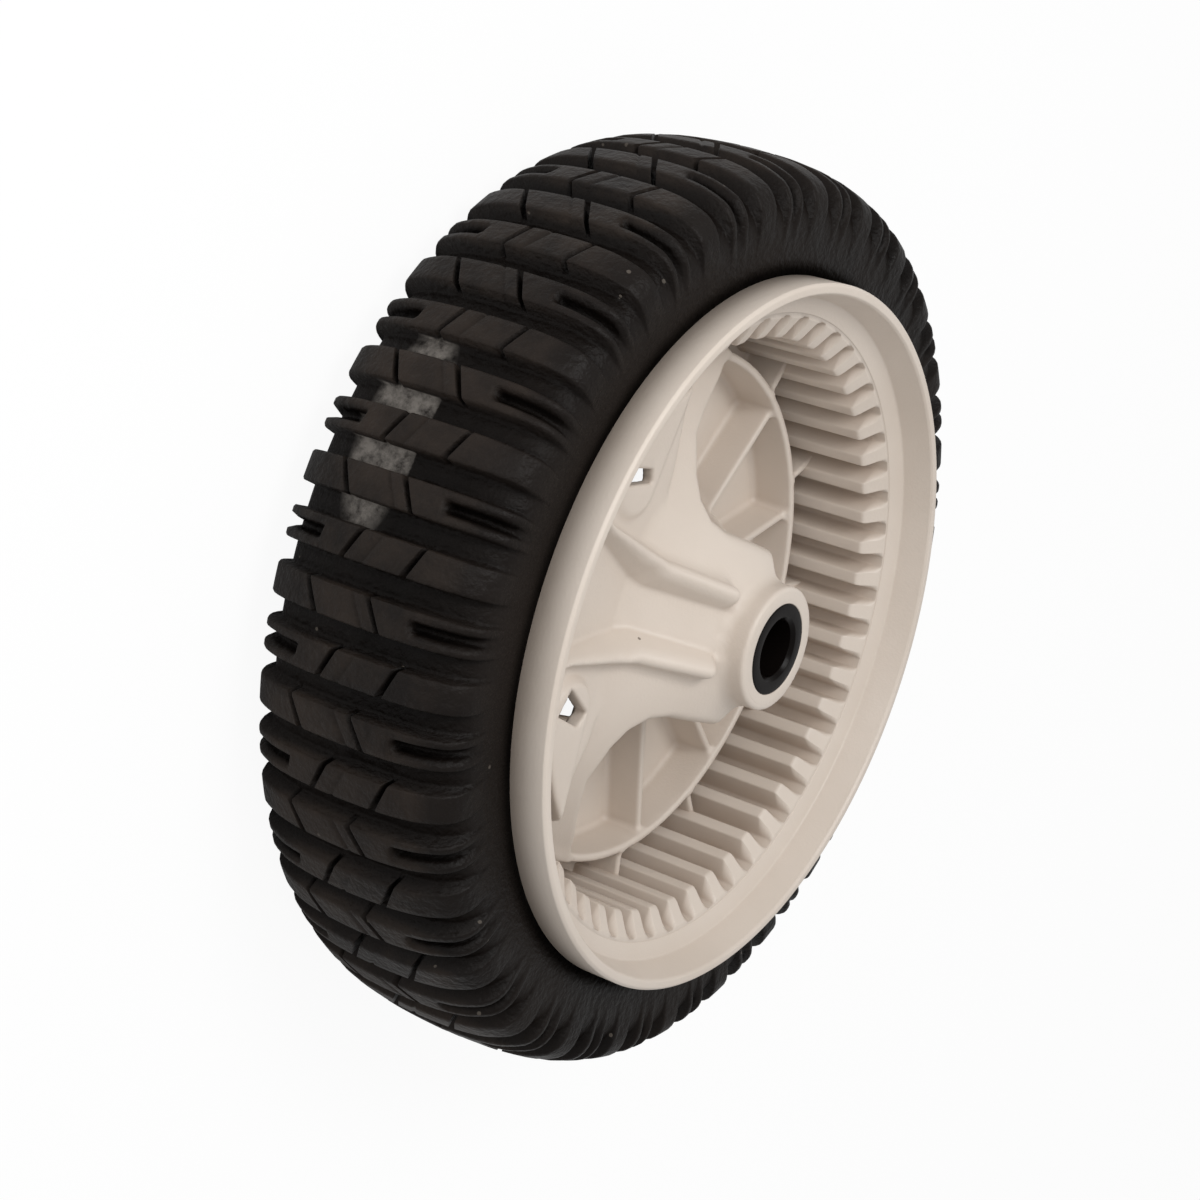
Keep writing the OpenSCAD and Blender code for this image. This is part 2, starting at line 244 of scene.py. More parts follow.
# %% Outlines of the raised arm, for one side of the valley
MOUTH = [
    (-1.2, 0), (-1.2, 19.6), (8.2, 20.1), (14.5, 20.4), (18.6, 22.0), (21.0, 25.5), (21.6, 30.0), (20.4, 38.0),
    (17.0, 43.0), (14.0, 46.5), (8.0, 52.5), (3.0, 57.8), (3.0, 75), (75, 75), (75, -1)]
DECK = [
    (31.5, -1), (31.5, 15.0), (31.2, 22.0), (31.6, 30.0), (34.0, 40.0), (38.5, 70), (75, 70), (75, -1)]
RIDGE_X = [17.2, 32.0, 37.5, 50.3, 58.4]
RIDGE_SIDE = [8.0, 9.0, 10.3, 12.6, 15.7]
RIDGE_Z = [30.9, 21.9, 19.8, 18.5, 18.1]
RIDGE_ROUND = 2.1


# %% Distances that depend on the plan only
RIB_ANGLES = [118, 149, 180, 211, 242]
TROUGH_RIBS = 13
TROUGH_TURN = -1.4


def plan_distances(x, y):
    far = np.hypot(x, y)
    side = np.abs(y)
    azimuth = np.degrees(np.arctan2(y, x))
    rib = np.full(x.shape, 1e9, np.float32)
    for angle in RIB_ANGLES:
        c, s = math.cos(math.radians(angle)), math.sin(math.radians(angle))
        across, along = np.abs(x * s - y * c), x * c + y * s
        rib = np.minimum(rib, np.where(along > 0, across, 1e3))
    step = 360 / TROUGH_RIBS
    off = (azimuth - TROUGH_TURN + step / 2) % step - step / 2
    trough_rib = far * np.abs(np.sin(np.radians(off)))
    return {"x": x, "y": y, "side": side, "far": far, "rib": rib, "trough_rib": trough_rib,
            "mouth": outline_distance(x, side, MOUTH), "deck": outline_distance(x, side, DECK)}


# %% Distance to the ridges
def ridge_distance(plan, z):
    x = plan["x"]
    over = z - np.interp(x, RIDGE_X, RIDGE_Z)
    beside = np.maximum(plan["side"] - np.interp(x, RIDGE_X, RIDGE_SIDE), 0) * 0.97
    away = np.hypot(beside, np.maximum(RIDGE_X[0] - x, 0))
    crest = np.hypot(away, np.maximum(over, 0) * 0.85)
    return (crest - RIDGE_ROUND + np.minimum(over, 0) * 0.42) * 0.9


# %% Distance to the valley between the ridges
VALLEY_START_Z, VALLEY_FALL, VALLEY_LOW_Z = 31.2, 0.715, 16.3
VALLEY_HALF, FAN_X, FAN_SPREAD = 4.5, 32.0, 0.37
VALLEY_WALL_LEAN = 0.6


def valley_distance(plan, z, wall):
    x, side = plan["x"], plan["side"]
    floor_z = soft_max(VALLEY_START_Z - (x - HUB_R) * VALLEY_FALL, VALLEY_LOW_Z + 0 * x, 0.5)
    half = VALLEY_HALF + np.maximum(x - FAN_X, 0) * FAN_SPREAD
    lean = (z - floor_z) * VALLEY_WALL_LEAN
    walls = side - half - np.maximum(lean, 0) - wall * 1.3
    under = floor_z - z - wall
    return soft_max(walls * 0.85, under * 0.85, 0.5)


# %% Distance to the raised arm
ARM_START_Z, ARM_FALL = 32.0, 0.586
BOSS_X, BOSS_SIDE, BOSS_R, BOSS_EDGE = 44.5, 24.0, 8.2, 2.6
BOSS_LENGTH, BOSS_DRIFT = 24, 3.0
BOSS_RISE_A, BOSS_RISE_B = 2.1, 0.9
HOLLOW_ROOF = 3.4
HOLLOW_WALL = 2.8


def arm_top(plan):
    slope = ARM_START_Z - (plan["far"] - HUB_R) * ARM_FALL
    deck = DECK_Z - np.maximum(plan["deck"], 0) * 0.9
    past = np.clip((plan["side"] - BOSS_SIDE) / BOSS_LENGTH, 0, 1)
    off_x = plan["x"] - BOSS_X + past * BOSS_DRIFT
    away = np.hypot(off_x, plan["side"] - BOSS_SIDE - past * BOSS_LENGTH)
    boss = np.clip((BOSS_R - away) / BOSS_EDGE, 0, 1)
    rise = np.where(plan["y"] > 0, BOSS_RISE_A, BOSS_RISE_B)
    return soft_max(slope, deck, 0.8) + rise * boss * boss * (3 - 2 * boss)


def arm_distance(plan, z):
    far = plan["far"]
    top = arm_top(plan)
    arm = soft_max(plan["mouth"] - 0.09 * (top - z), (z - top) * 0.8, 2.0)
    arm = soft_min(arm, ridge_distance(plan, z), 1.4)
    arm = soft_max(arm, far - SKIRT_R, 1.0)
    return soft_max(arm, -valley_distance(plan, z, 0.0), 1.7)


# %% [markdown]
# Each side of the deck has one small window. Light passes through it, so the arm is hollow and open below. The
# deck is thinner round a window, which keeps the hole short, and the two outlines differ a little, as they do on
# the real wheel.

# %% Windows: one opening on each side
WINDOW_A = [(47.6, 19.2), (39.0, 23.4), (41.2, 26.6), (49.4, 25.2)]
WINDOW_B = [(47.4, 27.0), (41.2, 27.9), (39.6, 25.2), (48.4, 23.0)]
RELIEF_R, RELIEF_Z, WINDOW_LOW_Z = 8.6, 15.6, 11.0


def window_distances(plan, z):
    x, y = plan["x"], plan["y"]
    hole = np.where(y > 0, outline_distance(x, y, WINDOW_A), outline_distance(x, -y, WINDOW_B))
    away = np.hypot(x - BOSS_X, plan["side"] - BOSS_SIDE)
    relief = soft_max(away - RELIEF_R, z - RELIEF_Z, 0.6)
    return hole, relief


# %% Distances to the web, its ribs and the hub
COLLAR_IN = 11.4
FOOT_X, FOOT_HALF_X, FOOT_SIDE, FOOT_HALF_SIDE, FOOT_TOP = 11.8, 13.0, 25.1, 3.5, 7.4
CELL_RIB_TOP, TROUGH_RIB_TOP = 4.3, 5.3
BRACE_TOP, BRACE_FALL = 28.2, 1.744
DRAFT = 0.035


def plate_and_ribs(plan, z):
    far = plan["far"]
    form = np.maximum(np.abs(z - (FLOOR_Z + UNDER_Z) / 2) - 1.5, far - RIM_INSIDE)
    skirt = soft_max(np.abs(far - SKIRT_MIDDLE) - 1.05 + 0.02 * z, z - SKIRT_TOP, 0.7)
    form = soft_min(form, np.maximum(skirt, RIB_FOOT_Z - z), 1.6)
    thick = plan["rib"] - 1.0 + DRAFT * z
    cell = soft_max(thick, z - CELL_RIB_TOP, 0.7)
    brace = soft_max(thick, (z - BRACE_TOP + (far - HUB_R) * BRACE_FALL) * 0.5, 0.7)
    ribs = np.maximum(soft_min(cell, brace, 1.0), np.maximum(far - SKIRT_MIDDLE, RIB_FOOT_Z - z))
    form = soft_min(form, ribs, 1.6)
    trough = soft_max(plan["trough_rib"] - 0.95 + DRAFT * z, z - TROUGH_RIB_TOP, 0.6)
    trough = np.maximum(trough, np.maximum(SKIRT_MIDDLE - far, RIB_FOOT_Z - z))
    form = soft_min(form, np.maximum(trough, far - RIM_INSIDE), 1.2)
    hub = soft_max(far - HUB_R - 0.012 * (HUB_TOP - z), z - HUB_TOP + 0.04, 1.0)
    return soft_min(form, np.maximum(hub, HUB_BACK - z), 2.4)


# %% Distance to all the plastic inside the gear
def web_distance(plan, z):
    far = plan["far"]
    arm = np.maximum(arm_distance(plan, z), RIB_FOOT_Z - z)
    form = soft_min(plate_and_ribs(plan, z), arm, 1.8)
    hollow = soft_max(plan["mouth"] + HOLLOW_WALL, z - (arm_top(plan) - HOLLOW_ROOF), 1.5)
    hollow = soft_max(hollow, far - SKIRT_IN, 1.0)
    hollow = soft_max(hollow, HUB_R + 0.3 - far, 1.0)
    hollow = soft_max(hollow, -valley_distance(plan, z, 3.0), 1.5)
    form = soft_max(form, -hollow, 0.8)
    hole, relief = window_distances(plan, z)
    form = np.maximum(form, -np.maximum(relief, WINDOW_LOW_Z - z))
    form = soft_max(form, -np.maximum(hole, WINDOW_LOW_Z - z), 0.4)
    foot = np.maximum(np.abs(plan["x"] - FOOT_X) - FOOT_HALF_X, np.abs(plan["side"] - FOOT_SIDE) - FOOT_HALF_SIDE)
    form = soft_max(form, -np.maximum(foot, z - FOOT_TOP), 0.5)
    return np.maximum(form, COLLAR_IN - far)


# %% [markdown]
# ## From distances to faces
# The distance is taken at the knots of a fine grid, as if the space inside the gear were cut into small cubes.
# Each cube that the surface passes gets one point, and each grid edge that crosses the surface gets one face
# between the four cubes around it. The points are then moved onto the true surface with a few steps along the
# slope of the distance. Joining ready-made solids would need no grid, but it leaves no soft fillets.

# %% Distance at the knots of the grid
GRID = 0.62
GRID_LOW, GRID_HIGH, GRID_LOW_Z, GRID_HIGH_Z = -73.2, 73.9, -10.1, 39.0
x_knots = np.arange(GRID_LOW, GRID_HIGH, GRID, dtype=np.float32)
z_knots = np.arange(GRID_LOW_Z, GRID_HIGH_Z, GRID, dtype=np.float32)
plan_x, plan_y = np.meshgrid(x_knots, x_knots, indexing="ij")
knot_plan = plan_distances(plan_x, plan_y)
field = np.stack([web_distance(knot_plan, z) for z in z_knots], axis=-1).astype(np.float32)
print("grid of", field.shape, "knots")


# %% Cells, points and faces of the surface
def surface_net(values):
    inside = values < 0
    cells = tuple(n - 1 for n in values.shape)
    total, crossings = np.zeros(cells + (3,), np.float32), np.zeros(cells, np.float32)
    for axis in range(3):
        others = [a for a in range(3) if a != axis]
        low = [slice(None)] * 3
        high = [slice(None)] * 3
        low[axis], high[axis] = slice(0, -1), slice(1, None)
        a, b = values[tuple(low)], values[tuple(high)]
        crosses = inside[tuple(low)] != inside[tuple(high)]
        t = np.where(crosses, a / np.where(crosses, a - b, 1), 0)
        for i in (0, 1):
            for j in (0, 1):
                cut = [slice(None)] * 3
                cut[others[0]] = slice(i, i + cells[others[0]])
                cut[others[1]] = slice(j, j + cells[others[1]])
                hit = crosses[tuple(cut)]
                crossings += hit
                total[..., axis] += np.where(hit, t[tuple(cut)], 0)
                total[..., others[0]] += hit * i
                total[..., others[1]] += hit * j
    used = crossings > 0
    number = np.full(cells, -1, np.int64)
    number[used] = np.arange(used.sum())
    corner = np.argwhere(used)
    points = corner + total[used] / crossings[used][:, None]
    quads = []
    for axis in range(3):
        others = [(axis + 1) % 3, (axis + 2) % 3]
        inner = [slice(1, -1)] * 3
        inner[axis] = slice(0, -1)
        ahead = list(inner)
        ahead[axis] = slice(1, None)
        first, second = inside[tuple(inner)], inside[tuple(ahead)]
        spots = np.argwhere(first != second)
        leaving = first[tuple(spots.T)]
        spots = spots + [0 if a == axis else 1 for a in range(3)]
        corners = []
        for i, j in ((0, 0), (1, 0), (1, 1), (0, 1)):
            cell = spots.copy()
            cell[:, others[0]] += i - 1
            cell[:, others[1]] += j - 1
            corners.append(number[tuple(cell.T)])
        quad = np.stack(corners, axis=1)
        quad[~leaving] = quad[~leaving][:, ::-1]
        quads.append(quad)
    return points, np.concatenate(quads)


net_points, net_quads = surface_net(field)
origin = np.array([x_knots[0], x_knots[0], z_knots[0]])
web_points = origin + net_points * GRID
print("surface net:", len(web_points), "points,", len(net_quads), "faces")


# %% Move the points onto the true surface
def web_value(p):
    return web_distance(plan_distances(p[:, 0], p[:, 1]), p[:, 2])


STEP = 0.05
LONGEST_MOVE = 0.35
for _ in range(3):
    value = web_value(web_points)
    slope = np.stack([(web_value(web_points + STEP * axis) - value) / STEP for axis in np.eye(3)], axis=-1)
    length = np.maximum((slope ** 2).sum(axis=1), 0.1)
    move = (value / length)[:, None] * slope
    reach = np.maximum(np.linalg.norm(move, axis=1), 1e-9)
    web_points = web_points - move * np.minimum(1, LONGEST_MOVE / reach)[:, None]
print("largest miss after the moves:", round(float(np.abs(web_value(web_points)).max()), 3), "mm")
web = make_piece("wheel_web_and_hub", web_points, net_quads.tolist(), "wheel_body")

# %% [markdown]
# The net has the same small faces on flat walls as on tight fillets. A decimate modifier joins faces where the
# form is flat and keeps them where it bends, so the piece stays light.

# %% Fewer faces on the flat walls
MOST_TRIANGLES = 190000


def thin_out(piece, most_triangles):
    thin = piece.modifiers.new("thin", "DECIMATE")
    thin.ratio = most_triangles / (2 * len(piece.data.polygons))
    bpy.context.view_layer.update()
    seen_piece = piece.evaluated_get(bpy.context.evaluated_depsgraph_get())
    thinned = bpy.data.meshes.new_from_object(seen_piece)
    piece.modifiers.clear()
    old = piece.data
    piece.data = thinned
    bpy.data.meshes.remove(old)
    thinned.name = piece.name
    thinned.polygons.foreach_set("use_smooth", np.ones(len(thinned.polygons), bool))
    thinned.calc_loop_triangles()
    print(piece.name, "now has", len(thinned.loop_triangles), "triangles")


thin_out(web, MOST_TRIANGLES)

# %% [markdown]
# ## Hub collar
# The grid rounds every sharp edge a little. The edge where the hub meets the bushing has to stay crisp, so the
# innermost part of the hub tube is turned from an outline of its own and sits inside the web's form.

# %% Inner part of the hub tube
COLLAR_R, COLLAR_END_R, COLLAR_TAPER = 12.6, 12.4, 2
COLLAR_CORNERS = [
    (BUSH_R, HUB_TOP, 0.3), (BUSH_R, HUB_BACK, 0.3), (COLLAR_END_R, HUB_BACK, 0.15),
    (COLLAR_R, HUB_BACK + COLLAR_TAPER, 0), (COLLAR_R, HUB_TOP - COLLAR_TAPER, 0), (COLLAR_END_R, HUB_TOP, 0.15)]
collar_outline = rounded(COLLAR_CORNERS)[::-1]
collar_angles = np.linspace(0, 360, 144, endpoint=False)
collar_r = np.tile(collar_outline[:, 0], (len(collar_angles), 1))
collar_points = ring_points(collar_r, collar_outline[:, 1][None, :], collar_angles)
collar_faces = [face[::-1] for face in ring_faces(*collar_r.shape)]
collar = make_piece("wheel_hub_collar", collar_points, collar_faces, "wheel_body")

# %% [markdown]
# ## Tyre
# The tyre is one ring too. Its outline exists twice: once over the tops of the lugs and once along the
# floor of the grooves. At each angle a mask says how much of the lug is there, and the sipes and slots
# lower the mask along thin lines. The lines of points bend with the slanted sipes, so that the sipes come
# out sharp without a dense mesh. Cutting the lugs from a plain tyre would work too, but it leaves long thin
# faces that shade badly.

# %% Outlines of the lug tops and of the groove floor, from the middle to the bead
SHARE = np.array([0.0, 0.16, 0.36, 0.56, 0.68, 0.78, 0.88, 0.95, 1.0])
LUG_R = np.array([TREAD_R, 101.35, 100.8, 99.2, 96.9, 93.4, 88.4, 83.5, RIM_R])
LUG_Z = np.array([0.0, 5.2, 12.0, 19.0, 23.2, 25.0, 24.9, 24.4, BEAD_Z])
FLOOR_R = np.array([97.9, 97.8, 97.3, 96.0, 94.4, 91.6, 87.7, 83.4, RIM_R])
FLOOR_GROOVE_Z = np.array([0.0, 5.2, 12.0, 18.3, 21.6, 23.8, 24.6, 24.4, BEAD_Z])


def smooth_table(share, table):
    slopes = np.gradient(table, SHARE)
    i = np.clip(np.searchsorted(SHARE, share, side="right") - 1, 0, len(SHARE) - 2)
    width = SHARE[i + 1] - SHARE[i]
    t = (share - SHARE[i]) / width
    return ((1 + 2 * t) * (1 - t) ** 2 * table[i] + t * (1 - t) ** 2 * width * slopes[i]
            + t * t * (3 - 2 * t) * table[i + 1] + t * t * (t - 1) * width * slopes[i + 1])


# %% Places of the sipes and slots
SIPE_HALF = 0.7
SIPE_DEPTH = 3.2
SLOT_HALF = 0.85
SLOT_DEPTH = 2.8
SLOT_START = 13.0
LUG_HALF_DEG = 1.96
ROWS = 54
ROW_PITCH = 360 / ROWS
FIRST_LUG = -4.97
SIPES = [[(4.15, 2.15), (-11.0, 2.0)], [(-4.5, -1.8), (10.05, -1.75)]]
SIPE_FLOOR_HALF = 0.46
SIPE_LIP = 0.95
TREAD_END_Z = 17.0
TREAD_END_SHARE = 0.56


def share_of_height(z):
    fine = np.linspace(0, 0.7, 1401)
    return np.interp(np.abs(z), smooth_table(fine, LUG_Z), fine)


# %% Lines across the tread
crossings = [-7.6, -1.7, -0.35, 0.35, 1.0, 2.1, 7.3, 15.6, 17.4, -15.6, -17.4]
for middle, _ in SIPES[0] + SIPES[1]:
    for off in (SIPE_LIP, SIPE_HALF, SIPE_FLOOR_HALF):
        crossings += [middle - off, middle + off]
for off in (-0.9, -0.3, 0.25, 0.9):
    crossings += [SLOT_START + off, -SLOT_START - off]
signed = sorted(math.copysign(share_of_height(z), z) for z in crossings)
shoulder = [0.57, 0.61, 0.65, 0.69, 0.73, 0.77, 0.81, 0.85, 0.89, 0.93, 0.965, 1.0]
tread_lines = np.array([-s for s in reversed(shoulder)] + signed + shoulder)
print("lines across the tyre:", len(tread_lines))

# %% Angles of the lines round the tyre
lug_shares = np.array([-1.0, -0.93, -0.8, -0.5, -0.27, -0.17, 0.17, 0.27, 0.5, 0.8, 0.93, 1.0])
gap_deg = ROW_PITCH - 2 * LUG_HALF_DEG
offsets = np.concatenate([lug_shares * LUG_HALF_DEG, LUG_HALF_DEG + gap_deg * np.array([0.2, 0.5, 0.8])])
row_of_line = np.repeat(np.arange(ROWS), len(offsets))
tyre_angles = FIRST_LUG + row_of_line * ROW_PITCH + np.tile(offsets, ROWS)
across_lug = np.tile(np.concatenate([lug_shares, [1.0, 0.0, -1.0]]), ROWS)
on_lug = np.tile(np.concatenate([np.ones(len(lug_shares)), np.zeros(3)]), ROWS).astype(bool)
print("lines round the tyre:", len(tyre_angles))


# %% Shift of the lines along the slanted sipes
def slant(z, row_kind):
    places = sorted(SIPES[row_kind])
    known_z = [-TREAD_END_Z] + [p[0] for p in places] + [TREAD_END_Z]
    known_slant = [0.0] + [p[1] for p in places] + [0.0]
    return np.interp(z, known_z, known_slant)


# %% Height of the lug left at each point
SEAM_Z, SEAM_DEPTH = 0.35, 0.35
LUG_EDGE_SHARE, LUG_EDGE_DROP = 0.8, 0.28
LUG_MIDDLE_R = 98


def dip(distance, half, soft):
    return np.clip(1 - (distance - half) / soft, 0, 1)


def cut_depth(line_z, u, kind):
    depth = SEAM_DEPTH * dip(np.abs(line_z - SEAM_Z), 0.1, 0.6)
    for middle, _ in SIPES[kind]:
        sipe = dip(np.abs(line_z - middle), SIPE_FLOOR_HALF, SIPE_HALF - SIPE_FLOOR_HALF)
        depth = np.maximum(depth, SIPE_DEPTH * sipe)
    slot_side = 1 if kind == 0 else -1
    from_middle = np.abs(u) * math.radians(LUG_HALF_DEG) * LUG_MIDDLE_R
    in_slot = dip(from_middle, SLOT_HALF - 0.15, 0.45)
    past = dip(SLOT_START - slot_side * line_z, 0.0, 0.7)
    edge = np.clip((np.abs(u) - LUG_EDGE_SHARE) / 0.13, 0, 1) * LUG_EDGE_DROP
    return np.maximum(depth, SLOT_DEPTH * in_slot * past) + edge


def tread_table():
    line_z = (np.sign(tread_lines) * smooth_table(np.abs(tread_lines), LUG_Z))[None, :]
    inner = np.abs(tread_lines)[None, :] < TREAD_END_SHARE
    shares = np.tile(tread_lines, (len(tyre_angles), 1))
    left, cuts = np.ones(shares.shape), np.zeros(shares.shape)
    for kind in (0, 1):
        rows = (row_of_line % 2) == kind
        u, lug_here = across_lug[rows][:, None], on_lug[rows][:, None]
        after = np.tile(offsets, ROWS)[rows][:, None] > LUG_HALF_DEG + gap_deg * 0.6
        moved = np.where(lug_here & (np.abs(line_z) < TREAD_END_Z), slant(line_z, kind) * u, 0)
        moved = np.where(~lug_here & (u > 0.5), slant(line_z, kind), moved)
        moved = np.where(~lug_here & after, -slant(line_z, 1 - kind), moved)
        z = line_z + moved
        shares[rows] = np.where(inner, np.sign(z) * share_of_height(z), shares[rows])
        body = np.where(np.abs(u) >= 0.999, 0.0, 1.0) * lug_here
        left[rows] = body
        cuts[rows] = cut_depth(line_z, u, kind) * body
    return shares, left, cuts


tread_shares, lug_left, cuts = tread_table()

# %% Points of the tread and the side walls
flat_share, flat_sign = np.abs(tread_shares), np.where(tread_shares < 0, -1, 1)
top_r, top_z = smooth_table(flat_share, LUG_R), smooth_table(flat_share, LUG_Z)
low_r, low_z = smooth_table(flat_share, FLOOR_R), smooth_table(flat_share, FLOOR_GROOVE_Z)
FLOOR_STEP = 0.45
past_seam = np.clip((tread_shares - 0.008) / 0.01, 0, 1)
before_shoulder = np.clip((0.5 - tread_shares) / 0.2, 0, 1)
low_r = low_r - FLOOR_STEP * past_seam * before_shoulder
height = np.maximum(np.hypot(top_r - low_r, top_z - low_z), 1e-6)
part = np.clip(lug_left - cuts / height, 0, 1)
tread_r = low_r + (top_r - low_r) * part
tread_z = (low_z + (top_z - low_z) * part) * flat_sign
print("lug height at the middle:", round(float(height.max()), 2), "mm")

# %% Close the ring inside the tyre
inner_r = np.array([RIM_R, BARREL_R, BARREL_R, BARREL_R, RIM_R])
inner_z = np.array([SEAT_Z, SEAT_Z, 0.0, -SEAT_Z, -SEAT_Z])
rows = len(tyre_angles)
tyre_r = np.concatenate([tread_r, np.tile(inner_r, (rows, 1))], axis=1)
tyre_z = np.concatenate([tread_z, np.tile(inner_z, (rows, 1))], axis=1)
tyre_points = ring_points(tyre_r, tyre_z, tyre_angles)
tyre_faces = [f[::-1] for f in ring_faces(rows, tyre_r.shape[1])]
tyre = make_piece("tyre_with_sipes", tyre_points, tyre_faces, "tyre")

# %% [markdown]
# ## Bushing
# The bushing is a plain turned sleeve. Its outline has a chamfer at both ends of the bore and a small
# rounding outside, which leaves the thin dark line that shows where it meets the hub.

# %% Turned sleeve
CHAMFER = 0.8
BUSH_CORNERS = [
    (BORE_R, HUB_TOP - CHAMFER, 0.2), (BORE_R + CHAMFER, HUB_TOP, 0.15), (BUSH_R, HUB_TOP, 0.35),
    (BUSH_R, HUB_BACK, 0.35), (BORE_R + CHAMFER, HUB_BACK, 0.15), (BORE_R, HUB_BACK + CHAMFER, 0.2)]
sleeve = rounded(BUSH_CORNERS)[::-1]
turn_angles = np.linspace(0, 360, 128, endpoint=False)
sleeve_r = np.tile(sleeve[:, 0], (len(turn_angles), 1))
sleeve_points = ring_points(sleeve_r, sleeve[:, 1][None, :], turn_angles)
sleeve_faces = ring_faces(*sleeve_r.shape)
bushing = make_piece("bushing_sleeve", sleeve_points, sleeve_faces, "bushing")

# %% [markdown]
# ## Finishes
# Five effects make up the looks: a fine moulded grain, painted shade in corners, scattered dark specks, the
# worn tops of the lugs, and a painted highlight on the floors of some grooves. Each is a node group with named
# inputs, so a material can use it with its own values. The groups only give masks and heights. They are worked out
# from the place on the object, so no picture is needed and nothing has to be unwrapped.

# %% Helpers for node trees
def new_group(name, inputs, outputs):
    group = bpy.data.node_groups.new(name, "ShaderNodeTree")
    for label, value in inputs:
        socket = group.interface.new_socket(label, in_out="INPUT", socket_type="NodeSocketFloat")
        socket.default_value = value
    for label in outputs:
        group.interface.new_socket(label, in_out="OUTPUT", socket_type="NodeSocketFloat")
    return group, group.nodes.new("NodeGroupInput"), group.nodes.new("NodeGroupOutput")


def noise(tree, coords, scale, detail=3.0, rough=0.55):
    node = tree.nodes.new("ShaderNodeTexNoise")
    node.inputs["Detail"].default_value = detail
    node.inputs["Roughness"].default_value = rough
    if isinstance(scale, (int, float)):
        node.inputs["Scale"].default_value = scale
    else:
        tree.links.new(scale, node.inputs["Scale"])
    tree.links.new(coords, node.inputs["Vector"])
    return node.outputs["Fac"]


def stretch(tree, value, low, high, to_low=0.0, to_high=1.0):
    node = tree.nodes.new("ShaderNodeMapRange")
    node.inputs["From Min"].default_value = low
    node.inputs["From Max"].default_value = high
    node.inputs["To Min"].default_value = to_low
    node.inputs["To Max"].default_value = to_high
    tree.links.new(value, node.inputs["Value"])
    return node.outputs["Result"]


def maths(tree, operation, a, b):
    node = tree.nodes.new("ShaderNodeMath")
    node.operation = operation
    for socket, value in zip(node.inputs, (a, b)):
        if isinstance(value, (int, float)):
            socket.default_value = value
        else:
            tree.links.new(value, socket)
    return node.outputs[0]


# %% Moulded grain
def make_grain_group():
    group, inn, out = new_group("moulded_grain", [("Scale", 900.0), ("Waviness", 0.5)], ["Height", "Patches"])
    coords = group.nodes.new("ShaderNodeTexCoord").outputs["Object"]
    fine = noise(group, coords, inn.outputs["Scale"], 2.0)
    wave = noise(group, coords, 90.0, 2.0)
    wave = maths(group, "MULTIPLY", wave, inn.outputs["Waviness"])
    group.links.new(maths(group, "ADD", fine, wave), out.inputs["Height"])
    group.links.new(stretch(group, noise(group, coords, 26.0, 4.0), 0.35, 0.7), out.inputs["Patches"])
    return group


grain_group = make_grain_group()


# %% Painted shade in corners
def make_corner_shade_group():
    group, inn, out = new_group("painted_corner_shade", [("Reach", 0.006), ("Unevenness", 0.5)], ["Mask"])
    coords = group.nodes.new("ShaderNodeTexCoord").outputs["Object"]
    corner = group.nodes.new("ShaderNodeAmbientOcclusion")
    corner.samples = 8
    group.links.new(inn.outputs["Reach"], corner.inputs["Distance"])
    # Painted shade: the occlusion of nearby faces becomes a mask that darkens corners, creases and gaps, broken up a
    # little by noise.
    closed = stretch(group, corner.outputs["AO"], 0.95, 0.35)
    patches = stretch(group, noise(group, coords, 60.0, 5.0, 0.65), 0.3, 0.75)
    patches = maths(group, "MULTIPLY", patches, inn.outputs["Unevenness"])
    kept = maths(group, "SUBTRACT", 1.0, patches)
    group.links.new(maths(group, "MULTIPLY", closed, kept), out.inputs["Mask"])
    return group


corner_shade_group = make_corner_shade_group()


# %% Scattered specks
def make_speck_group():
    group, inn, out = new_group("dark_specks", [("Scale", 160.0), ("Size", 0.12)], ["Mask"])
    coords = group.nodes.new("ShaderNodeTexCoord").outputs["Object"]
    cells = group.nodes.new("ShaderNodeTexVoronoi")
    group.links.new(coords, cells.inputs["Vector"])
    group.links.new(inn.outputs["Scale"], cells.inputs["Scale"])
    near = maths(group, "LESS_THAN", cells.outputs["Distance"], inn.outputs["Size"])
    chance = group.nodes.new("ShaderNodeSeparateColor")
    group.links.new(cells.outputs["Color"], chance.inputs["Color"])
    rare = maths(group, "GREATER_THAN", chance.outputs["Red"], 0.93)
    group.links.new(maths(group, "MULTIPLY", near, rare), out.inputs["Mask"])
    return group


speck_group = make_speck_group()


# %% Distance from the axle, as a value for other nodes
def axle_distance(group, coords):
    flat = group.nodes.new("ShaderNodeVectorMath")
    flat.operation = "MULTIPLY"
    flat.inputs[1].default_value = (1, 1, 0)
    group.links.new(coords, flat.inputs[0])
    length = group.nodes.new("ShaderNodeVectorMath")
    length.operation = "LENGTH"
    group.links.new(flat.outputs["Vector"], length.inputs[0])
    return length.outputs["Value"]


# %% Worn tops of the lugs
CROWN_R = 0.0985


def make_crown_group():
    group, inn, out = new_group("worn_crown", [("Radius", CROWN_R)], ["Mask"])
    coords = group.nodes.new("ShaderNodeTexCoord").outputs["Object"]
    above = maths(group, "SUBTRACT", axle_distance(group, coords), inn.outputs["Radius"])
    top = stretch(group, above, 0.0, 0.0016)
    scuffs = stretch(group, noise(group, coords, 42.0, 6.0, 0.7), 0.38, 0.68)
    group.links.new(maths(group, "MULTIPLY", top, scuffs), out.inputs["Mask"])
    return group


crown_group = make_crown_group()


# %% Painted highlight on the floors of some grooves
HIGHLIGHT_HALF_WIDTH = 0.0085


